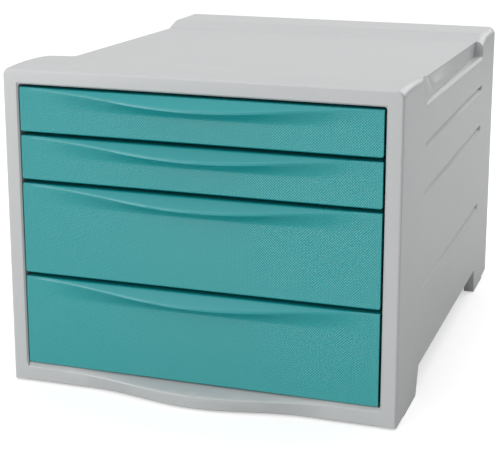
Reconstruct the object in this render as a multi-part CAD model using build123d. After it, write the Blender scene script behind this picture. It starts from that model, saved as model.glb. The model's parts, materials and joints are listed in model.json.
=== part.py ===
from build123d import *
import math
import os

# Desktop drawer unit in millimetres: X to the right, Y to the back, Z up.
# Depths are measured backwards from the flat front plane of the casing, setbacks forwards from its rear.

# Casing, outside
body_width = 285.0
body_depth = 365.0
wall = 2.6
stile_width = 11.3
bottom_rail_height = 14.4
top_rail_height = 12.0
frame_thickness = 3.0
corner_radius = 6.0
front_edge_radius = 2.0
rear_edge_bevel = 1.2
opening_corner_radius = 1.8
opening_bevel = 1.1

# Drawer rows, from the top down, as multiples of one pitch
row_pitch = 34.35
row_units = (1, 1, 2, 2)
row_names = ("drawer_top_small", "drawer_second_small", "drawer_third_large", "drawer_bottom_large")
gap_over_front = 2.0
gap_under_front = 0.9
gap_beside_front = 1.5

# Roof: a crowned front ridge, a slope, a sunk field that falls to the rear and a raised rear ridge
ridge_nose_drop = 0.8
ridge_crown_depth = 18.0
ridge_end_depth = 62.0
ridge_end_drop = 1.8
ridge_end_radius = 60.0
field_start_depth = 102.5
field_start_drop = 8.4
field_start_radius = 80.0
field_end_setback = 60.0
field_end_drop = 12.9
field_end_radius = 3.0
rear_ridge_setback = 43.0
rear_ridge_drop = 8.1
rear_ridge_radius = 8.0

# Shoulders: the sunk field's side walls, which lean in from the sides and grow upright to the rear
shoulder_inset = 6.5
shoulder_start_depth = 44.0
shoulder_foot_front_drop = 16.5
shoulder_foot_rear_drop = 21.5
shoulder_overrun = 0.4
shoulder_drop_into_groove = 1.2
shoulder_stations = 8

# Grooves in each side: one under the shoulder, one under each runner ledge, all deepest at the rear
groove_start_depth = 72.0
groove_end_setback = 60.5
groove_depth_front = 0.9
groove_depth_rear = 7.0
groove_height_front = 3.4
groove_height_rear = 6.2
groove_below_row = 2.8
shoulder_groove_front_drop = 23.4
shoulder_groove_rear_drop = 27.4
groove_corner_radius = 4.0

# Feet, and the arch between them along each side
foot_clearance = 0.5
foot_width = 8.4
toe_depth = 25.0
toe_lift = 1.4
front_foot_end = 62.5
front_foot_slope = 8.0
arch_height = 21.0
rear_foot_setback = 61.5
rear_foot_slope = 3.0
heel_length = 22.0
heel_lift = 3.0

# Rubber pads, let into the feet
pad_length = 34.0
pad_width = 5.6
pad_inset = 1.5
pad_thickness = 2.0
pad_gap = 0.1
pad_setback = 1.5

# Floor and its stiffening ribs
floor_thickness = 2.6
floor_drop = 1.4
floor_rib_height = 3.0
floor_rib_thickness = 2.0
floor_rib_count = 4

# Frame tunnel and runner ledges inside, with a low guide rib beside each drawer
tunnel_depth = 14.0
tunnel_wall = 2.2
ledge_thickness = 2.4
ledge_width = 14.4
ledge_start_depth = 40.0
ledge_end_setback = 13.0
running_gap = 0.3
guide_rib_height = 3.0
guide_rib_width = 1.8
guide_gap = 0.7
roof_rail_drop = 3.6
roof_rail_width = 3.0

# Wave handle: a lip that swells out of each front's top edge, over a concave flare
lip_reach = 8.5
lip_dip = 7.0
lip_half_width = 133.0
lip_height = 2.0
lip_crest_bevel = 0.8
lip_bend_radius = 4.0
lip_under_lean = 62.0
lip_flare = 6.0
lip_stations = 9

# Bottom rail: the same kind of wave in the casing's own rail, hollow from below
rail_reach = 12.4
rail_foot_reach = 11.6
rail_crest_half_width = 105.0
rail_foot_half_width = 80.0
rail_bevel = 2.3
rail_dip = 1.0
rail_nose_radius = 0.9
rail_top_turn = 30.0
rail_foot_radius = 0.7
rail_wall = 2.2
rail_stations = 15

# Drawers
front_thickness = 2.6
front_edge = 0.8
front_corner_radius = 2.0
top_return_depth = 12.0
top_return_thickness = 1.8
tray_setback = 20.0
tray_wall = 2.2
tray_floor = 2.2
tray_side_gap = 1.3
tray_lift = 0.4
tray_corner_radius = 6.0
tray_floor_radius = 3.0
rim_drop = 3.7
rim_band = 0.8
rim_band_height = 3.0

# Stops: a lug on each rear corner of a drawer meets a nub under the ledge above it
lug_length = 8.0
lug_width = 7.4
lug_gap = 0.4
nub_depth = 84.0
nub_length = 8.0
nub_height = 2.9
nub_width = 10.0

# Back panel, snapped in from behind against a seat that runs round the rear opening
panel_thickness = 2.4
panel_inset = 2.0
panel_gap = 0.3
panel_field_margin = 18.0
panel_field_depth = 0.8
panel_field_radius = 8.0
seat_width = 3.0
seat_thickness = 2.4
hook_width = 12.0
hook_thickness = 1.8
hook_barb = 0.9
hook_gap = 0.2
hook_spacing = 88.0

# Sizes that follow from the ones above
half_width = body_width / 2
inner_half = half_width - wall
opening_half = half_width - stile_width
foot_inner_half = half_width - foot_width
lower_inner_half = foot_inner_half - wall
opening_bottom = bottom_rail_height
opening_top = opening_bottom + row_pitch * sum(row_units)
front_height = opening_top + top_rail_height
front_y = (max(lip_reach, rail_reach) - body_depth) / 2
field_end_depth = body_depth - field_end_setback
rear_ridge_depth = body_depth - rear_ridge_setback
groove_end_depth = body_depth - groove_end_setback
rear_foot_start = body_depth - rear_foot_setback
rear_foot_end = body_depth - heel_length
ledge_end_depth = body_depth - ledge_end_setback
tray_length = body_depth - tray_setback
floor_top = opening_bottom - floor_drop
floor_bottom = floor_top - floor_thickness
lower_inner_top = arch_height + wall
rear_inner_top = front_height - rear_ridge_drop - wall
front_half = opening_half - gap_beside_front
tray_half = front_half - tray_side_gap
ledge_inner = tray_half - ledge_width
seat_depth = body_depth - panel_inset - panel_thickness - panel_gap
drawer_travel = tray_length - lug_length - nub_depth - nub_length - running_gap
clear = 1.0


def at(depth):
    """Y of a point this far behind the front plane."""
    return front_y + depth


def block(x0, x1, d0, d1, z0, z1):
    """A block between two corners, its Y range given as depths."""
    centre = Pos((x0 + x1) / 2, at((d0 + d1) / 2), (z0 + z1) / 2)
    return centre * Box(x1 - x0, d1 - d0, z1 - z0)


def on_both_sides(shape):
    """The shape and its mirror image across the middle plane."""
    return shape + mirror(shape, about=Plane.YZ)


def wave(x, half):
    """A raised cosine: 1 in the middle, 0 at both ends and beyond."""
    if abs(x) >= half:
        return 0.0
    return 0.5 * (1 + math.cos(math.pi * x / half))


def blend(start, end, t):
    return start + (end - start) * t


def smooth(t):
    t = min(max(t, 0.0), 1.0)
    return t * t * (3 - 2 * t)


def stations(half, count):
    return [blend(-half, half, i / (count - 1)) for i in range(count)]


def side_wire(x, corners):
    """A closed outline of straight runs in the plane at x, from (depth, z) corners."""
    return Wire.make_polygon([(x, at(d), z) for d, z in corners])


def front_wire(depth, corners):
    """A closed outline of straight runs in the plane at this depth, from (x, z) corners."""
    return Wire.make_polygon([(x, at(depth), z) for x, z in corners])


def across(corners, x0, x1):
    """A side outline of (depth, z) corners drawn out along X from x0 to x1."""
    return extrude(Face(side_wire(x0, corners)), amount=x1 - x0, dir=(1, 0, 0))


def roof_corners(drop):
    """The roof's side profile behind the crown as (depth, z) corners, lowered by drop."""
    top = front_height - drop
    return [
        (ridge_end_depth, top - ridge_end_drop),
        (field_start_depth, top - field_start_drop),
        (field_end_depth, top - field_end_drop),
        (rear_ridge_depth, top - rear_ridge_drop),
    ]


def rounded_profile(x, drop, start_depth, end_depth, lower):
    """A side face under the roof line, with the roof's bends rounded, closed by lower corners."""
    corners = roof_corners(drop)
    top = front_height - drop
    start = Vector(x, at(start_depth), top - ridge_nose_drop)
    crown = Vector(x, at(ridge_crown_depth), top)
    points = [Vector(x, at(d), z) for d, z in corners]
    points.append(Vector(x, at(end_depth), top - rear_ridge_drop))
    points += [Vector(x, at(d), z) for d, z in lower]
    points.append(start)
    edges = [Edge.make_three_point_arc(start, crown, points[0])]
    edges += [Edge.make_line(a, b) for a, b in zip(points, points[1:])]
    face = Face(Wire(edges))
    radii = (ridge_end_radius, field_start_radius, field_end_radius, rear_ridge_radius)
    for (d, z), radius in zip(corners, radii):
        corner = face.vertices().sort_by_distance((x, at(d), z))[0]
        face = face.fillet_2d(radius, [corner])
    return face


def outer_block():
    """The casing's outside before anything is cut from it."""
    lower = [
        (body_depth, heel_lift),
        (rear_foot_end, heel_lift),
        (rear_foot_end, foot_clearance),
        (toe_depth, foot_clearance),
        (toe_depth, toe_lift),
        (0, toe_lift),
    ]
    face = rounded_profile(-half_width, 0, 0, body_depth, lower)
    solid = extrude(face, amount=body_width, dir=(1, 0, 0))
    roof_edges = [
        e
        for e in solid.edges()
        if abs(abs(e.center().X) - half_width) < 0.01
        and e.center().Z > rear_inner_top - corner_radius
        and abs(e.tangent_at(0.5).Y) > 0.5
    ]
    solid = fillet(roof_edges, corner_radius)
    front = [e for e in solid.edges() if abs(e.center().Y - at(0)) < 0.01 and e.center().Z > toe_lift + clear]
    solid = fillet(front, front_edge_radius)
    rear = [e for e in solid.edges() if abs(e.center().Y - at(body_depth)) < 0.01]
    rear = [e for e in rear if e.center().Z > heel_lift + clear]
    return chamfer(rear, rear_edge_bevel)


def arch():
    """What is cut from each side between its feet."""
    corners = [
        (front_foot_end, foot_clearance - clear),
        (front_foot_end, foot_clearance),
        (front_foot_end + front_foot_slope, arch_height),
        (rear_foot_start - rear_foot_slope, arch_height),
        (rear_foot_start, foot_clearance),
        (rear_foot_start, foot_clearance - clear),
    ]
    return on_both_sides(across(corners, foot_inner_half, half_width + clear))


def groove_depth(depth):
    t = (depth - groove_start_depth) / (groove_end_depth - groove_start_depth)
    return blend(groove_depth_front, groove_depth_rear, t)


def groove(low_front, low_rear, high_front, high_rear, grow):
    """One tapered side groove between two heights, or with grow the lining round it."""
    sections = []
    ends = ((groove_start_depth, low_front, high_front, 0), (groove_end_depth, low_rear, high_rear, grow))
    for depth, low, high, shift in ends:
        bottom = half_width - groove_depth(depth) - grow
        outside = half_width + clear
        low -= grow
        high += grow
        corners = [(bottom, low), (outside, low), (outside, high), (bottom, high)]
        sections.append(front_wire(depth + shift, corners))
    solid = Solid.make_loft(sections, ruled=True)
    low_end = [
        e
        for e in solid.edges()
        if abs(e.tangent_at(0.5).X) > 0.9
        and e.center().Y > at(groove_end_depth - clear)
        and e.center().Z < (low_rear + high_rear) / 2
    ]
    solid = solid.fillet(groove_corner_radius + grow, low_end)
    return on_both_sides(solid)


def row_top(row):
    return opening_top - row_pitch * sum(row_units[:row])


def row_bottom(row):
    return row_top(row + 1)


def front_top(row):
    return row_top(row) - gap_over_front


def front_bottom(row):
    return row_bottom(row) + gap_under_front


def ledge_top(row):
    return front_bottom(row) + tray_lift - running_gap


def hold_down(row):
    """Underside of whatever keeps a drawer from tipping: the ledge above it, or the roof's rails."""
    if row == 0:
        return opening_top - roof_rail_drop
    return ledge_top(row - 1) - ledge_thickness


def side_grooves(grow):
    """All grooves of both sides: the one under the shoulder, then one under each ledge but the last."""
    foot_front = front_height - shoulder_foot_front_drop
    foot_rear = front_height - shoulder_foot_rear_drop
    low_front = front_height - shoulder_groove_front_drop
    low_rear = front_height - shoulder_groove_rear_drop
    cut = groove(low_front, low_rear, foot_front, foot_rear, grow)
    for row in range(1, len(row_units)):
        high = row_top(row) - groove_below_row
        cut += groove(high - groove_height_front, high - groove_height_rear, high, high, grow)
    return cut


def shoulder_section(depth, inset, foot_x, grow):
    t = (depth - field_start_depth) / (groove_end_depth - field_start_depth)
    foot_drop = blend(shoulder_foot_front_drop, shoulder_foot_rear_drop, max(t, 0.0))
    foot_z = front_height - foot_drop - grow
    edge_drop = blend(field_start_drop, field_end_drop, max(t, 0.0))
    if t < 0:
        ramp = (depth - ridge_end_depth) / (field_start_depth - ridge_end_depth)
        edge_drop = blend(ridge_end_drop, field_start_drop, max(ramp, 0.0))
    edge_z = front_height - edge_drop
    high = front_height + corner_radius
    edge_x = half_width - inset - grow
    outside = half_width + corner_radius
    low = foot_z - shoulder_drop_into_groove
    foot_x -= grow
    inner = [(edge_x, high), (edge_x, edge_z)]
    corners = [(foot_x, foot_z), (foot_x, low), (outside, low), (outside, high)]
    return front_wire(depth, corners + inner)


def shoulders(grow):
    """What is cut from both roof edges: an S-curve in plan behind the ridge, then a straight run."""
    run = []
    foot_end = half_width - groove_depth(field_start_depth)
    for i in range(shoulder_stations):
        t = i / (shoulder_stations - 1)
        depth = blend(shoulder_start_depth, field_start_depth, t)
        foot_x = blend(half_width + shoulder_overrun, foot_end, smooth(t))
        run.append(shoulder_section(depth, shoulder_inset * smooth(t), foot_x, grow))
    curve = Solid.make_loft(run)
    straight = Solid.make_loft(
        [
            shoulder_section(field_start_depth, shoulder_inset, foot_end, grow),
            shoulder_section(groove_end_depth + grow, shoulder_inset, half_width - groove_depth_rear, grow),
        ],
        ruled=True,
    )
    return on_both_sides(curve + straight)


def interior():
    """The hollow of the casing: the roof line lowered by the wall, wide above the arch, narrow below."""
    rear = body_depth + clear
    lower = [(rear, lower_inner_top), (frame_thickness, lower_inner_top)]
    face = rounded_profile(-inner_half, wall, frame_thickness, rear, lower)
    upper = extrude(face, amount=2 * inner_half, dir=(1, 0, 0))
    overlap_top = lower_inner_top + clear
    lower_part = block(-lower_inner_half, lower_inner_half, frame_thickness, rear, floor_top, overlap_top)
    return upper + lower_part - side_grooves(wall) - shoulders(wall)


def opening_prism(grow, d0, d1, bottom):
    """The front opening drawn out between two depths, with its upper corners rounded."""
    half = opening_half + grow
    top = opening_top + grow
    face = Face(front_wire(d0, [(-half, bottom), (half, bottom), (half, top), (-half, top)]))
    upper = [v for v in face.vertices() if v.Z > top - clear]
    face = face.fillet_2d(opening_corner_radius + grow, upper)
    return extrude(face, amount=d1 - d0, dir=(0, 1, 0))


def opening_bevel_cut():
    """The light bevel on the opening's top and sides."""
    wires = []
    for depth, grow in ((-opening_bevel, 2 * opening_bevel), (opening_bevel, 0)):
        half = opening_half + grow
        top = opening_top + grow
        corners = [(-half, opening_bottom), (half, opening_bottom), (half, top), (-half, top)]
        wires.append(front_wire(depth, corners))
    return Solid.make_loft(wires, ruled=True)


def rail_section(x):
    """Outline of the bottom rail at x: sloping ledge, rounded crest, face and foot."""
    crest = wave(x, rail_crest_half_width)
    foot = wave(x, rail_foot_half_width)
    r = rail_nose_radius
    nose_d = r - rail_reach * crest
    nose_z = opening_bottom - rail_bevel - rail_dip * crest - r
    upper = math.radians(90 + rail_top_turn)
    middle = math.radians(135 + rail_top_turn / 2)

    def point(d, z):
        return Vector(x, at(d), z)

    def on_nose(a):
        return point(nose_d + r * math.cos(a), nose_z + r * math.sin(a))

    back_top = point(frame_thickness, opening_bottom)
    back_foot = point(frame_thickness, toe_lift)
    foot_d = -rail_foot_reach * foot
    foot_front = point(foot_d, toe_lift + rail_foot_radius)
    foot_under = point(foot_d + rail_foot_radius, toe_lift)
    ledge_back = point(rail_bevel, opening_bottom)
    return Wire(
        [
            Edge.make_line(back_top, ledge_back),
            Edge.make_line(ledge_back, on_nose(upper)),
            Edge.make_three_point_arc(on_nose(upper), on_nose(middle), on_nose(math.pi)),
            Edge.make_line(on_nose(math.pi), foot_front),
            Edge.make_line(foot_front, foot_under),
            Edge.make_line(foot_under, back_foot),
            Edge.make_line(back_foot, back_top),
        ]
    )


def rail_hollow(x):
    """Outline of the rail's hollow at x, open below and behind."""
    crest_d = rail_wall - rail_reach * wave(x, rail_crest_half_width)
    foot_d = rail_wall - rail_foot_reach * wave(x, rail_foot_half_width)
    crest_z = opening_bottom - rail_bevel - rail_dip * wave(x, rail_crest_half_width) - rail_wall
    back = frame_thickness + clear
    corners = [
        (back, toe_lift - clear),
        (foot_d, toe_lift - clear),
        (crest_d, crest_z),
        (back, opening_bottom - rail_wall - rail_nose_radius),
    ]
    return side_wire(x, corners)


def bottom_rail():
    """The casing's wavy bottom rail: a lofted middle between two straight ends."""
    middle = Solid.make_loft([rail_section(x) for x in stations(rail_crest_half_width, rail_stations)])
    run = opening_half - rail_crest_half_width
    end = extrude(Face(rail_section(rail_crest_half_width)), amount=run, dir=(1, 0, 0))
    hollow_middle = Solid.make_loft([rail_hollow(x) for x in stations(rail_crest_half_width, rail_stations)])
    hollow_end = extrude(Face(rail_hollow(rail_crest_half_width)), amount=run, dir=(1, 0, 0))
    return middle + on_both_sides(end) - hollow_middle - on_both_sides(hollow_end)


def runner(row):
    """One drawer's pair of ledges with their guide ribs; the lowest stand on the floor."""
    top = ledge_top(row)
    low = top - ledge_thickness
    outer = inner_half + wall / 2
    if row == len(row_units) - 1:
        low = floor_top - floor_thickness / 2
        outer = lower_inner_half + wall / 2
    ledge = block(ledge_inner, outer, ledge_start_depth, ledge_end_depth, low, top)
    guide_x = tray_half + guide_gap
    guide_top = top + guide_rib_height
    guide = block(guide_x, guide_x + guide_rib_width, ledge_start_depth, ledge_end_depth, low, guide_top)
    return on_both_sides(ledge + guide)


def stop_nubs(row):
    """The pair of nubs that a drawer's lugs meet when it is pulled right out."""
    under = hold_down(row)
    low = under - nub_height
    nub = block(ledge_inner, ledge_inner + nub_width, nub_depth, nub_depth + nub_length, low, under + clear)
    return on_both_sides(nub)


def rear_outline(shrink, depth):
    """The rear opening's outline, drawn in by shrink."""
    wide = inner_half - shrink
    narrow = lower_inner_half - shrink
    top = rear_inner_top - shrink
    step = lower_inner_top + shrink
    bottom = floor_top + shrink
    corners = [
        (-narrow, bottom),
        (narrow, bottom),
        (narrow, step),
        (wide, step),
        (wide, top),
        (-wide, top),
        (-wide, step),
        (-narrow, step),
    ]
    return Face(front_wire(depth, corners))


def panel_seat():
    """The ridge round the rear opening that the back panel seats against."""
    start = seat_depth - seat_thickness
    outer = extrude(rear_outline(-wall / 2, start), amount=seat_thickness, dir=(0, 1, 0))
    inner = extrude(rear_outline(seat_width, start - clear), amount=seat_thickness + 2 * clear, dir=(0, 1, 0))
    return outer - inner


def pad_places():
    """Left edge, start depth and name of each foot pad on the +X and -X sides."""
    rear_start = rear_foot_start + pad_setback
    outer = half_width - pad_inset
    places = []
    for end, start in (("front", toe_depth), ("rear", rear_start)):
        places.append((f"foot_pad_{end}_right", outer - pad_width, start))
        places.append((f"foot_pad_{end}_left", -outer, start))
    return places


def foot_pad(x, start, gap):
    """A pad, or with a gap the pocket that it sits in."""
    body = block(x - gap, x + pad_width + gap, start - gap, start + pad_length + gap, -gap, pad_thickness)
    if gap:
        return body
    bottom = [e for e in body.edges() if e.center().Z < pad_thickness / 4]
    return chamfer(bottom, foot_clearance / 2)


def casing():
    shell = outer_block() - shoulders(0) - side_grooves(0) - arch()
    solid_roof = shell
    below = foot_clearance - clear
    shell -= block(-foot_inner_half, foot_inner_half, frame_thickness, body_depth - wall, below, floor_bottom)
    shell -= interior()
    shell -= opening_prism(0, -clear, frame_thickness + clear, below)
    shell -= opening_bevel_cut()
    shell += bottom_rail()
    tunnel = opening_prism(tunnel_wall, frame_thickness, tunnel_depth, opening_bottom - tunnel_wall)
    shell += tunnel - opening_prism(0, 0, tunnel_depth + clear, opening_bottom)
    for row in range(len(row_units)):
        shell += runner(row)
    rail_x = ledge_inner + nub_width - roof_rail_width
    roof_rail = block(
        rail_x,
        rail_x + roof_rail_width,
        ledge_start_depth,
        ledge_end_depth,
        hold_down(0),
        front_height,
    )
    shell += on_both_sides(roof_rail) & solid_roof
    for row in range(len(row_units)):
        shell += stop_nubs(row)
    shell += panel_seat()
    for i in range(floor_rib_count):
        depth = blend(front_foot_end, rear_foot_start, (i + 0.5) / floor_rib_count)
        shell += block(
            -foot_inner_half - clear,
            foot_inner_half + clear,
            depth - floor_rib_thickness / 2,
            depth + floor_rib_thickness / 2,
            floor_bottom - floor_rib_height,
            floor_bottom + clear,
        )
    for _, x, start in pad_places():
        shell -= foot_pad(x, start, pad_gap)
    return shell


def back_panel():
    outline = rear_outline(panel_gap, seat_depth + panel_gap)
    panel = extrude(outline, amount=panel_thickness, dir=(0, 1, 0))
    field_half = inner_half - panel_field_margin
    middle_z = (lower_inner_top + rear_inner_top) / 2
    field_height = rear_inner_top - lower_inner_top - 2 * panel_field_margin
    field = Box(2 * field_half, 2 * panel_field_depth, field_height)
    field = fillet(field.edges().filter_by(Axis.Y), panel_field_radius)
    panel -= Pos(0, at(body_depth - panel_inset), middle_z) * field
    root = seat_depth + panel_gap
    tip = seat_depth - seat_thickness - hook_gap - 2 * hook_barb
    barb_back = seat_depth - seat_thickness - hook_gap
    for side, edge in ((-1, rear_inner_top - seat_width), (1, floor_top + seat_width)):
        outer = edge + side * hook_gap
        inner = outer + side * hook_thickness
        barb = edge - side * (hook_barb - hook_gap)
        for i in (-1, 0, 1):
            x = i * hook_spacing
            low, high = sorted((outer, inner))
            panel += block(x - hook_width / 2, x + hook_width / 2, tip, root + clear, low, high)
            nose = [(tip, inner), (tip, outer), (barb_back - hook_barb, barb)]
            nose += [(barb_back, barb), (barb_back, inner)]
            panel += across(nose, x - hook_width / 2, x + hook_width / 2)
    return panel


def front_section(x, bottom, top):
    """Outline of a drawer front at x: the lip's upright edge, a concave flare under it, then the flat."""
    g = wave(x, lip_half_width)
    lip_depth = -lip_reach * g

    def point(d, z):
        return Vector(x, at(d), z)

    hem = point(lip_depth, top - lip_dip * g - lip_height)
    flare_foot = point(0, top - lip_dip - lip_height - lip_flare)
    pull = (hem.Z - flare_foot.Z) / 3
    lean = math.radians(lip_under_lean * g)
    tuck = Vector(0, math.sin(lean), -math.cos(lean)) * pull
    flare = Edge.make_bezier(hem, hem + tuck, flare_foot + Vector(0, 0, pull), flare_foot)
    corners = [
        flare_foot,
        point(0, bottom + front_edge),
        point(front_edge, bottom),
        point(front_thickness, bottom),
        point(front_thickness, top + clear),
        point(lip_depth, top + clear),
        hem,
    ]
    return Wire([flare] + [Edge.make_line(a, b) for a, b in zip(corners, corners[1:])])


def under_lip_top(bottom, top):
    """All that lies under a front's top, which is level at the back and slopes down to the crest."""
    reach = lip_reach + clear
    back = front_thickness + clear
    slope_end = top - lip_dip * reach / lip_reach
    corners = [(back, bottom - clear), (back, top), (0, top), (-reach, slope_end), (-reach, bottom - clear)]
    face = Face(side_wire(-half_width, corners))
    bend = face.vertices().sort_by_distance((-half_width, at(0), top))[0]
    return extrude(face.fillet_2d(lip_bend_radius, [bend]), amount=body_width, dir=(1, 0, 0))


def front_outline(bottom, top):
    """A front as seen from the front, with its lower corners rounded, drawn out along Y."""
    high = top + clear
    corners = [(-front_half, bottom), (front_half, bottom), (front_half, high), (-front_half, high)]
    face = Face(front_wire(-lip_reach - clear, corners))
    lower = [v for v in face.vertices() if v.Z < bottom + clear]
    face = face.fillet_2d(front_corner_radius, lower)
    return extrude(face, amount=lip_reach + front_thickness + 2 * clear, dir=(0, 1, 0))


def drawer_front(bottom, top):
    """The wave front: lofted, trimmed to its top and its outline, then bevelled along the lip's crest."""
    front = Solid.make_loft([front_section(x, bottom, top) for x in stations(front_half, lip_stations)])
    front = front & under_lip_top(bottom, top) & front_outline(bottom, top)
    crest = []
    for edge in front.edges():
        middle = edge.center()
        g = wave(middle.X, lip_half_width)
        on_wall = abs(middle.Y - at(-lip_reach * g)) < clear / 10
        high = middle.Z > top - lip_dip * g - lip_height / 2
        if on_wall and high and abs(edge.tangent_at(0.5).Z) < 0.5:
            crest.append(edge)
    return chamfer(crest, lip_crest_bevel)


def tray_plan(depth, inset):
    """The tray's plan as a face, with its rear corners rounded."""
    half = tray_half - inset
    front = at(depth)
    rear = at(tray_length - inset)
    face = Face(Wire.make_polygon([(-half, front, 0), (half, front, 0), (half, rear, 0), (-half, rear, 0)]))
    rear_corners = [v for v in face.vertices() if v.Y > rear - clear]
    return face.fillet_2d(tray_corner_radius - inset, rear_corners)


def drawer(row):
    top = front_top(row)
    bottom = front_bottom(row)
    floor = bottom + tray_lift
    rim = hold_down(row) - rim_drop
    outer = Pos(0, 0, floor) * extrude(tray_plan(front_thickness / 2, 0), amount=rim - floor, dir=(0, 0, 1))
    band = Pos(0, 0, rim - rim_band_height) * extrude(
        tray_plan(front_thickness / 2, -rim_band), amount=rim_band_height, dir=(0, 0, 1)
    )
    hollow_plan = tray_plan(front_thickness, tray_wall)
    hollow = Pos(0, 0, floor + tray_floor) * extrude(hollow_plan, amount=rim - floor, dir=(0, 0, 1))
    hollow = fillet(hollow.edges().group_by(Axis.Z)[0], tray_floor_radius)
    lug = block(
        tray_half - lug_width,
        tray_half,
        tray_length - lug_length,
        tray_length,
        rim - rim_band_height,
        hold_down(row) - lug_gap,
    )
    outline = extrude(tray_plan(front_thickness, 0), amount=front_height, dir=(0, 0, 1))
    return_bottom = top - top_return_thickness
    top_return = block(-tray_half, tray_half, front_thickness / 2, top_return_depth, return_bottom, top)
    front = drawer_front(bottom, top) + top_return
    return front + (outer + band - hollow) + (on_both_sides(lug) & outline)


def save(name, shape):
    solids = shape.solids()
    result = solids[0] if len(solids) == 1 else Compound(solids)
    result.label = name
    export_step(result, f"parts/{name}.step")
    print(name, len(solids), round(sum(s.volume for s in solids)))


os.makedirs("parts", exist_ok=True)
save("casing", casing())
save("back_panel", back_panel())
for row, row_name in enumerate(row_names):
    save(row_name, drawer(row))
for pad_name, pad_x, pad_start in pad_places():
    save(pad_name, foot_pad(pad_x, pad_start, 0))
print("drawer travel", round(drawer_travel, 2))
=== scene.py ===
import json
import math

import bpy
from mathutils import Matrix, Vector

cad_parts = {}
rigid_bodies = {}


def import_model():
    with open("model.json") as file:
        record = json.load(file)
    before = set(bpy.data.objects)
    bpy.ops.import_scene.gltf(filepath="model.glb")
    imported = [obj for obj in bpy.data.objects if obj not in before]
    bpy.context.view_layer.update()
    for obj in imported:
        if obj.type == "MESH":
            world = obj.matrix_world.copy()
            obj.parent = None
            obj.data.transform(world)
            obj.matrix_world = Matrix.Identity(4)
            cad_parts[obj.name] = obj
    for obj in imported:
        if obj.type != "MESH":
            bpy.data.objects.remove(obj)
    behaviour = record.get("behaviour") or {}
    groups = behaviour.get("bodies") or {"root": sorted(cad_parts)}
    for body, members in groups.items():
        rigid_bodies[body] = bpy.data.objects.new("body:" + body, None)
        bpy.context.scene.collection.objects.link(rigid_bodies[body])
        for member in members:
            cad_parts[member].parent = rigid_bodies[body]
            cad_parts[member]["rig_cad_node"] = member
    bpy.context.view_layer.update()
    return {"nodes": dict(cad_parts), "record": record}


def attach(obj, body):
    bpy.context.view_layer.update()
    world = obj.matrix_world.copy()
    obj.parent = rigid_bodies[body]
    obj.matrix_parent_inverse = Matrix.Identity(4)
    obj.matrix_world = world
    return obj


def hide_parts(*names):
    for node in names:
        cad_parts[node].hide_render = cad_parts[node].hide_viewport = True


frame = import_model()
nodes = frame["nodes"]
bodyOfNode = {}
for body, members in frame["record"]["behaviour"]["bodies"].items():
    for member in members:
        bodyOfNode[member] = body


# Shader helpers

def addNode(tree, kind, x, y, **values):
    node = tree.nodes.new(kind)
    node.location = (x, y)
    for name, value in values.items():
        setattr(node, name, value)
    return node


def live(sockets, name):  # a Mix node has one socket of each name for every data type
    return next(socket for socket in sockets if socket.name == name and socket.enabled)


def setInputs(node, **values):
    for name, value in values.items():
        node.inputs[name.replace("_", " ")].default_value = value


def mathNode(tree, operation, x, y, first, second=None, clamp=False):
    node = addNode(tree, "ShaderNodeMath", x, y, operation=operation, use_clamp=clamp)
    for socket, value in zip(node.inputs, (first, second)):
        if isinstance(value, (int, float)):
            socket.default_value = value
        elif value is not None:
            tree.links.new(value, socket)
    return node.outputs[0]


def newGroup(name, inputs, outputs):
    group = bpy.data.node_groups.new(name, "ShaderNodeTree")
    for label, kind, value in inputs:
        socket = group.interface.new_socket(label, in_out="INPUT", socket_type=kind)
        if value is not None:
            socket.default_value = value
    for label, kind in outputs:
        group.interface.new_socket(label, in_out="OUTPUT", socket_type=kind)
    start = addNode(group, "NodeGroupInput", -1200, 0)
    end = addNode(group, "NodeGroupOutput", 700, 0)
    return group, start, end


def placeGroup(tree, group, x, y, **values):
    node = addNode(tree, "ShaderNodeGroup", x, y, node_tree=group)
    setInputs(node, **values)
    return node


# Moulded plastic: slow drift in tone and gloss, and a fine bloom that breaks up the highlights
mouldedNoise = {
    "cloud": {"Scale": 9.0, "Detail": 3.0, "Roughness": 0.55},
    "flow": {"Scale": 55.0, "Detail": 4.0, "Roughness": 0.6},
    "bloom": {"Detail": 2.0, "Roughness": 0.5},
}


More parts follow.
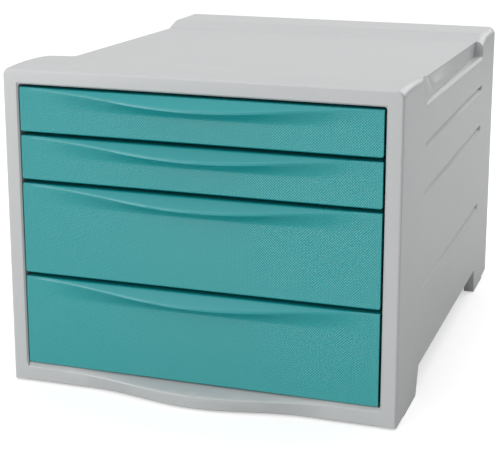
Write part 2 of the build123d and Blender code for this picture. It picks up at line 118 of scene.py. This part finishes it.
def buildMouldedTone(noise):
    group, start, end = newGroup(
        "mouldedTone",
        [
            ("Vector", "NodeSocketVector", None),
            ("Color", "NodeSocketColor", (0.5, 0.5, 0.5, 1)),
            ("Drift", "NodeSocketFloat", 0.04),
            ("Roughness", "NodeSocketFloat", 0.4),
            ("Gloss Drift", "NodeSocketFloat", 0.06),
            ("Grain Scale", "NodeSocketFloat", 2500.0),
        ],
        [("Color", "NodeSocketColor"), ("Roughness", "NodeSocketFloat"), ("Height", "NodeSocketFloat")],
    )
    links = group.links
    cloud = addNode(group, "ShaderNodeTexNoise", -900, 200)
    setInputs(cloud, **noise["cloud"])
    links.new(start.outputs["Vector"], cloud.inputs["Vector"])
    centred = mathNode(group, "SUBTRACT", -700, 200, cloud.outputs["Fac"], 0.5)
    drift = mathNode(group, "MULTIPLY", -500, 200, centred, start.outputs["Drift"])
    value = mathNode(group, "ADD", -300, 200, drift, 1.0)
    tinted = addNode(group, "ShaderNodeHueSaturation", -100, 300)
    links.new(start.outputs["Color"], tinted.inputs["Color"])
    links.new(value, tinted.inputs["Value"])
    links.new(tinted.outputs["Color"], end.inputs["Color"])

    flow = addNode(group, "ShaderNodeTexNoise", -900, -100)
    setInputs(flow, **noise["flow"])
    links.new(start.outputs["Vector"], flow.inputs["Vector"])
    flowCentred = mathNode(group, "SUBTRACT", -700, -100, flow.outputs["Fac"], 0.5)
    gloss = mathNode(group, "MULTIPLY", -500, -100, flowCentred, start.outputs["Gloss Drift"])
    roughness = mathNode(group, "ADD", -300, -100, gloss, start.outputs["Roughness"])
    links.new(roughness, end.inputs["Roughness"])

    bloom = addNode(group, "ShaderNodeTexNoise", -900, -400)
    setInputs(bloom, **noise["bloom"])
    links.new(start.outputs["Vector"], bloom.inputs["Vector"])
    links.new(start.outputs["Grain Scale"], bloom.inputs["Scale"])
    links.new(bloom.outputs["Fac"], end.inputs["Height"])
    return group


# Diamond grain: small pyramids between two sets of slanting grooves on the flat of a front.
# It fades out up the underside of the lip and stays off faces that look up. Its mask also places the painted
# shade and sheen of the grain colours, and leaves faces that look up in the darker plain teal as painted shade.
def buildDiamondGrain():
    group, start, end = newGroup(
        "diamondGrain",
        [
            ("Vector", "NodeSocketVector", None),
            ("Normal", "NodeSocketVector", None),
            ("Pitch", "NodeSocketFloat", 0.0019),
            ("Flat Depth", "NodeSocketFloat", -0.1763),
            ("Fade", "NodeSocketFloat", 0.0065),
            ("Upward Shade Cut", "NodeSocketFloat", 4.0),
        ],
        [("Height", "NodeSocketFloat"), ("Mask", "NodeSocketFloat")],
    )
    links = group.links
    axes = addNode(group, "ShaderNodeSeparateXYZ", -1000, 0)
    links.new(start.outputs["Vector"], axes.inputs[0])
    slants = []
    for operation, y in (("ADD", 300), ("SUBTRACT", 100)):
        slant = mathNode(group, operation, -800, y, axes.outputs["X"], axes.outputs["Z"])
        steps = mathNode(group, "DIVIDE", -600, y, slant, start.outputs["Pitch"])
        slants.append(mathNode(group, "PINGPONG", -400, y, steps, 0.5))
    lower = mathNode(group, "MINIMUM", -200, 200, *slants)
    height = mathNode(group, "MULTIPLY", 0, 200, lower, 2.0)

    # the fade also carries the lighter grain colour up the lower part of the under-lip, as painted light
    proud = mathNode(group, "SUBTRACT", -800, -200, start.outputs["Flat Depth"], axes.outputs["Y"])
    away = mathNode(group, "ABSOLUTE", -600, -200, proud)
    faded = mathNode(group, "DIVIDE", -400, -200, away, start.outputs["Fade"])
    nearFlat = mathNode(group, "SUBTRACT", -200, -200, 1.0, faded, clamp=True)
    facing = addNode(group, "ShaderNodeSeparateXYZ", -1000, -500)
    links.new(start.outputs["Normal"], facing.inputs[0])
    # painted shade: faces that look up lose the grain and keep the darker plain teal
    upwardShade = mathNode(group, "MULTIPLY", -800, -500, facing.outputs["Z"], start.outputs["Upward Shade Cut"], clamp=True)
    notAbove = mathNode(group, "SUBTRACT", -600, -500, 1.0, upwardShade)
    mask = mathNode(group, "MULTIPLY", 0, -200, nearFlat, notAbove)
    links.new(mask, end.inputs["Mask"])
    links.new(mathNode(group, "MULTIPLY", 200, 100, height, mask), end.inputs["Height"])
    return group


mouldedTone = buildMouldedTone(mouldedNoise)
diamondGrain = buildDiamondGrain()

plasticIor = 1.55
casingFinish = {"color": (0.5, 0.51, 0.515, 1), "drift": 0.03, "roughness": 0.32, "grainHeight": 0.00002}
panelFinish = {"color": (0.49, 0.5, 0.505, 1), "drift": 0.04, "roughness": 0.46, "grainHeight": 0.00003}
padFinish = {"color": (0.035, 0.035, 0.037, 1), "drift": 0.2, "roughness": 0.8, "grainHeight": 0.0001}
drawerFinish = {
    "color": (0.008, 0.28, 0.295, 1),  # the smooth lip and tray
    # painted sheen: the diamond tips, and with them the grained flat, are painted lighter than the plain teal
    "tipSheenColor": (0.026, 0.45, 0.46, 1),
    # painted shade: the diamond grooves are painted darker
    "grooveShadeColor": (0.005, 0.235, 0.245, 1),
    "drift": 0.04,
    "roughness": 0.36,
    "grainHeight": 0.00001,
    "diamondPitch": 0.0019,
    "diamondHeight": 0.0002,
    "flatDepth": -0.1763,  # where the flat of a front lies along Y
}


def plasticMaterial(name, finish):
    material = bpy.data.materials.new(name)
    material.use_nodes = True
    tree = material.node_tree
    shader = tree.nodes["Principled BSDF"]
    place = addNode(tree, "ShaderNodeTexCoord", -900, 0)
    tone = placeGroup(
        tree, mouldedTone, -600, 0, Color=finish["color"], Drift=finish["drift"], Roughness=finish["roughness"]
    )
    tree.links.new(place.outputs["Object"], tone.inputs["Vector"])
    bump = addNode(tree, "ShaderNodeBump", -300, -300)
    setInputs(bump, Distance=finish["grainHeight"], Strength=1.0)
    tree.links.new(tone.outputs["Height"], bump.inputs["Height"])
    tree.links.new(tone.outputs["Color"], shader.inputs["Base Color"])
    tree.links.new(tone.outputs["Roughness"], shader.inputs["Roughness"])
    tree.links.new(bump.outputs["Normal"], shader.inputs["Normal"])
    setInputs(shader, IOR=plasticIor)
    return material, tree, shader, tone, bump


def drawerMaterial(finish):
    material, tree, shader, tone, bump = plasticMaterial("tealPlastic", finish)
    place = tree.nodes["Texture Coordinate"]
    diamonds = placeGroup(
        tree, diamondGrain, -900, -500, Pitch=finish["diamondPitch"], Flat_Depth=finish["flatDepth"]
    )
    tree.links.new(place.outputs["Object"], diamonds.inputs["Vector"])
    tree.links.new(place.outputs["Normal"], diamonds.inputs["Normal"])
    relief = addNode(tree, "ShaderNodeBump", -100, -300)
    setInputs(relief, Distance=finish["diamondHeight"], Strength=1.0)
    tree.links.new(diamonds.outputs["Height"], relief.inputs["Height"])
    tree.links.new(bump.outputs["Normal"], relief.inputs["Normal"])
    tree.links.new(relief.outputs["Normal"], shader.inputs["Normal"])
    # painted shade and sheen: the grain's height mixes the dark groove colour and the light tip colour
    grainShadeSheen = addNode(tree, "ShaderNodeMix", -450, 400, data_type="RGBA")
    tree.links.new(diamonds.outputs["Height"], live(grainShadeSheen.inputs, "Factor"))
    live(grainShadeSheen.inputs, "A").default_value = finish["grooveShadeColor"]
    live(grainShadeSheen.inputs, "B").default_value = finish["tipSheenColor"]
    # the grain mask lays these painted colours on the flat of the front only, so upward lip tops stay darker as
    # painted shade
    mix = addNode(tree, "ShaderNodeMix", -250, 200, data_type="RGBA")
    tree.links.new(diamonds.outputs["Mask"], live(mix.inputs, "Factor"))
    tree.links.new(tone.outputs["Color"], live(mix.inputs, "A"))
    tree.links.new(live(grainShadeSheen.outputs, "Result"), live(mix.inputs, "B"))
    tree.links.new(live(mix.outputs, "Result"), shader.inputs["Base Color"])
    return material


casingPlastic = plasticMaterial("greyPlastic", casingFinish)[0]
panelPlastic = plasticMaterial("panelPlastic", panelFinish)[0]
padRubber = plasticMaterial("padRubber", padFinish)[0]
tealPlastic = drawerMaterial(drawerFinish)
print("materials: grey, panel, rubber and teal with its diamond grain")


# Pieces: each moulding is a welded copy of its node, shaded smooth below an angle in degrees

weldDistance = 0.000002
casingCopy = {"slot": "casing_grey", "smoothAngle": 24}
panelCopy = {"slot": "panel_grey", "smoothAngle": 24}
drawerCopy = {
    "slot": "drawer_teal",
    "smoothAngle": 33,
    "rows": ("drawer_top_small", "drawer_second_small", "drawer_third_large", "drawer_bottom_large"),
}
padCorners = ("front_right", "front_left", "rear_right", "rear_left")


def smoothCopy(nodeName, look, material):
    bpy.ops.object.select_all(action="DESELECT")
    node = nodes[nodeName]
    node.select_set(True)
    bpy.context.view_layer.objects.active = node
    bpy.ops.object.duplicate()
    piece = bpy.context.active_object
    piece.name = nodeName + "_moulding"
    piece.data.name = piece.name
    del piece["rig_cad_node"]
    bpy.ops.object.mode_set(mode="EDIT")
    bpy.ops.mesh.select_all(action="SELECT")
    bpy.ops.mesh.remove_doubles(threshold=weldDistance)
    bpy.ops.mesh.customdata_custom_splitnormals_clear()
    bpy.ops.object.mode_set(mode="OBJECT")
    bpy.ops.object.shade_smooth_by_angle(angle=math.radians(look["smoothAngle"]))
    piece.data.materials.clear()
    piece.data.materials.append(material)
    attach(piece, bodyOfNode[nodeName])
    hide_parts(nodeName)
    return piece


# In the photograph the grooves in the sides are open: a slanting lip below catches the light
sideGrooves = {
    "side": 0.1425,  # half the casing's width
    "frontY": -0.1043,
    "rearY": 0.1282,
    "cornerRadius": 0.004,
    "depths": (0.0009, 0.007),  # front and rear, as cut in the casing
    "shallowTo": (0.112, 0.0034),  # where the shallow run ends, and its depth there
    "cuts": (-0.0814, -0.052, 0.0, 0.042, 0.077, 0.112),  # where the groove's section changes
    # each groove's floor at its front and rear end, then its ceiling
    "rows": ((0.07690, 0.07410, 0.0803), (0.14560, 0.14280, 0.1490), (0.17995, 0.17715, 0.18335)),
    "shoulder": (0.2091, 0.2051, 0.2161),
    "lipRise": 0.0022,
    "lipReach": 0.0015,
    "lipShare": 0.58,  # the most of the depth that a lip takes
    "endLean": 0.0015,
    "nickRise": 0.005,  # how far the nick lies over the shoulder groove's floor
    "slack": {"depth": 0.0004, "height": 0.0001, "length": 0.00005, "side": 0.00001},
    "onFace": 0.00002,
}


def alongGroove(look, y, low):  # depth and floor height of a groove as cut in the casing
    t = (y - look["frontY"]) / (look["rearY"] - look["frontY"])
    cut = look["depths"][0] + (look["depths"][1] - look["depths"][0]) * t
    return cut, low[0] + (low[1] - low[0]) * t


def openDepth(look, y):  # shallow along the groove, then down to the full depth at its rear end
    kink, shallow = look["shallowTo"]
    front, rear = look["depths"]
    if y < kink:
        return front + (shallow - front) * (y - look["frontY"]) / (kink - look["frontY"])
    return shallow + (rear - shallow) * (y - kink) / (look["rearY"] - kink)


def inGroove(look, point, low, high):
    slack = look["slack"]
    if not look["frontY"] - slack["length"] < point.y < look["rearY"] + slack["length"]:
        return False
    cut, floor = alongGroove(look, point.y, low)
    inside = look["side"] - cut - slack["depth"] < abs(point.x) < look["side"] + slack["side"]
    return inside and floor - slack["height"] < point.z < high + slack["length"]


def selectGrooves(piece, look, runs):
    bpy.ops.object.mode_set(mode="OBJECT")
    for part in (piece.data.vertices, piece.data.edges, piece.data.polygons):
        part.foreach_set("select", [False] * len(part))
    points = [vertex.co for vertex in piece.data.vertices]
    for face in piece.data.polygons:
        corners = [points[i] for i in face.vertices]
        onSide = all(abs(abs(corner.x) - look["side"]) < look["onFace"] for corner in corners)
        if not onSide and any(all(inGroove(look, corner, *run) for corner in corners) for run in runs):
            face.select = True
    bpy.ops.object.mode_set(mode="EDIT")


def openRow(look, point, low, high):  # where a point of a row's groove goes
    cut, floor = alongGroove(look, point.y, low)
    depth = openDepth(look, point.y)
    reach = min(look["lipReach"], look["lipShare"] * depth)
    rise = look["lipRise"] * min(1.0, depth / look["lipReach"])
    inward = min(1.0, (look["side"] - abs(point.x)) / cut)
    up = min(1.0, max(0.0, (point.z - floor) / (high - floor)))
    bend = look["rearY"] - look["cornerRadius"]
    back = max(0.0, point.y - bend) / look["cornerRadius"]
    x = look["side"] - inward * (reach + up * (depth - reach))
    y = point.y - look["endLean"] * inward * back
    return Vector((math.copysign(x, point.x), y, point.z + (1 - up) * rise * inward))


def shapeGrooves(piece, look, smoothAngle):
    rows = [((front, rear), high) for front, rear, high in look["rows"]]
    shoulder = (look["shoulder"][:2], look["shoulder"][2])
    bpy.ops.object.select_all(action="DESELECT")
    piece.select_set(True)
    bpy.context.view_layer.objects.active = piece
    for y in look["cuts"]:
        selectGrooves(piece, look, rows + [shoulder])
        bpy.ops.mesh.bisect(plane_co=(0, y, 0), plane_no=(0, 1, 0))
    for side in (-1, 1):
        selectGrooves(piece, look, [shoulder])
        bpy.ops.mesh.bisect(plane_co=(side * (look["side"] - look["lipReach"]), 0, 0), plane_no=(1, 0, 0))
    bpy.ops.object.mode_set(mode="OBJECT")
    for vertex in piece.data.vertices:
        point = vertex.co.copy()
        for run in rows:
            if inGroove(look, point, *run):
                vertex.co = openRow(look, point, *run)
        if inGroove(look, point, *shoulder):
            floor = alongGroove(look, point.y, shoulder[0])[1]
            lift = look["lipRise"] * min(1.0, (look["side"] - abs(point.x)) / look["lipReach"])
            vertex.co.z = max(point.z, floor + lift)
            if abs(point.y - look["frontY"]) < look["onFace"] and point.z > floor + look["nickRise"]:
                vertex.co.x = math.copysign(look["side"], point.x)  # closes the nick where the shoulder starts
    bpy.ops.object.shade_smooth_by_angle(angle=math.radians(smoothAngle))


casingPiece = smoothCopy("casing", casingCopy, casingPlastic)
shapeGrooves(casingPiece, sideGrooves, casingCopy["smoothAngle"])
smoothCopy("back_panel", panelCopy, panelPlastic)
for row in drawerCopy["rows"]:
    smoothCopy(row, drawerCopy, tealPlastic)
for corner in padCorners:
    pad = nodes["foot_pad_" + corner]
    pad.data.materials.clear()
    pad.data.materials.append(padRubber)
print("pieces: casing, back panel, four drawers and the foot pads")


# Stage, light and camera

stageLook = {"size": 14.0, "color": (0.64, 0.64, 0.64, 1), "roughness": 0.9, "cameraWhite": 0.52}
worldLook = {"ambient": 0.72, "dimSide": 0.0, "riseShare": 0.8, "dimFrom": -0.1, "dimTo": 0.8}
lamps = {
    "keyLamp": {"place": (-0.8, -1.9, 1.75), "size": 1.0, "power": 8.0},
    "hazeLamp": {"place": (-1.6, -2.3, 0.3), "size": 1.0, "power": 29.0},
    "fillLamp": {"place": (1.3, -1.3, 0.5), "size": 1.0, "power": 0.5},
    "roofLamp": {"place": (0.15, 0.1, 2.2), "size": 2.4, "power": 16.5},
    "sideLamp": {"place": (0.7, 1.15, 0.85), "size": 1.0, "power": 5.5},
}
lampTarget = (0.0, 0.0, 0.12)
cameraLook = {
    "place": (0.3257, -1.0252, 0.3923),
    "pitch": 13.63,
    "yaw": 18.64,
    "lens": 100.0,
    "sensor": 36.0,
    "shiftY": -0.12,
}


def buildStage(look):
    bpy.ops.mesh.primitive_plane_add(size=look["size"])
    floor = bpy.context.active_object
    floor.name = "floor"
    material = bpy.data.materials.new("paleFloor")
    material.use_nodes = True
    tree = material.node_tree
    shader = tree.nodes["Principled BSDF"]
    setInputs(shader, Base_Color=look["color"], Roughness=look["roughness"], Specular_IOR_Level=0.0)
    setInputs(shader, Emission_Color=(1, 1, 1, 1))
    path = addNode(tree, "ShaderNodeLightPath", -600, 200)
    lift = mathNode(tree, "MULTIPLY", -200, 200, path.outputs["Is Camera Ray"], look["cameraWhite"])
    tree.links.new(lift, shader.inputs["Emission Strength"])
    floor.data.materials.append(material)


def buildWorld(look):  # a soft surround, dimmer low on the object's right
    world = bpy.data.worlds.new("studio")
    bpy.context.scene.world = world
    world.use_nodes = True
    tree = world.node_tree
    background = tree.nodes["Background"]
    heading = addNode(tree, "ShaderNodeTexCoord", -1000, 0)
    axes = addNode(tree, "ShaderNodeSeparateXYZ", -800, 0)
    tree.links.new(heading.outputs["Generated"], axes.inputs[0])
    rise = mathNode(tree, "MULTIPLY", -700, -150, axes.outputs["Z"], look["riseShare"])
    lowRight = mathNode(tree, "SUBTRACT", -600, -150, axes.outputs["X"], rise)
    dim = addNode(tree, "ShaderNodeMapRange", -400, 0, interpolation_type="SMOOTHSTEP")
    setInputs(
        dim, From_Min=look["dimFrom"], From_Max=look["dimTo"], To_Min=look["ambient"], To_Max=look["dimSide"]
    )
    tree.links.new(lowRight, dim.inputs["Value"])
    path = addNode(tree, "ShaderNodeLightPath", -600, 300)
    strength = addNode(tree, "ShaderNodeMix", -200, 200, data_type="FLOAT")
    tree.links.new(dim.outputs["Result"], live(strength.inputs, "A"))
    live(strength.inputs, "B").default_value = 1.0
    tree.links.new(path.outputs["Is Camera Ray"], live(strength.inputs, "Factor"))
    tree.links.new(live(strength.outputs, "Result"), background.inputs["Strength"])
    background.inputs["Color"].default_value = (1, 1, 1, 1)


def addLamp(name, look):
    bpy.ops.object.light_add(type="AREA", location=look["place"])
    lamp = bpy.context.active_object
    lamp.name = name
    lamp.data.shape = "SQUARE"
    lamp.data.size = look["size"]
    lamp.data.energy = look["power"]
    lamp.rotation_euler = (Vector(lampTarget) - lamp.location).to_track_quat("-Z", "Y").to_euler()


def addCamera(look):
    bpy.ops.object.camera_add(
        location=look["place"], rotation=(math.radians(90 - look["pitch"]), 0, math.radians(look["yaw"]))
    )
    camera = bpy.context.active_object
    camera.data.lens = look["lens"]
    camera.data.sensor_width = look["sensor"]
    camera.data.shift_y = look["shiftY"]
    bpy.context.scene.camera = camera


buildStage(stageLook)
buildWorld(worldLook)
for lampName, look in lamps.items():
    addLamp(lampName, look)
addCamera(cameraLook)
bpy.context.scene.view_settings.view_transform = "Standard"
print("stage: floor, world,", len(lamps), "lamps and the camera")
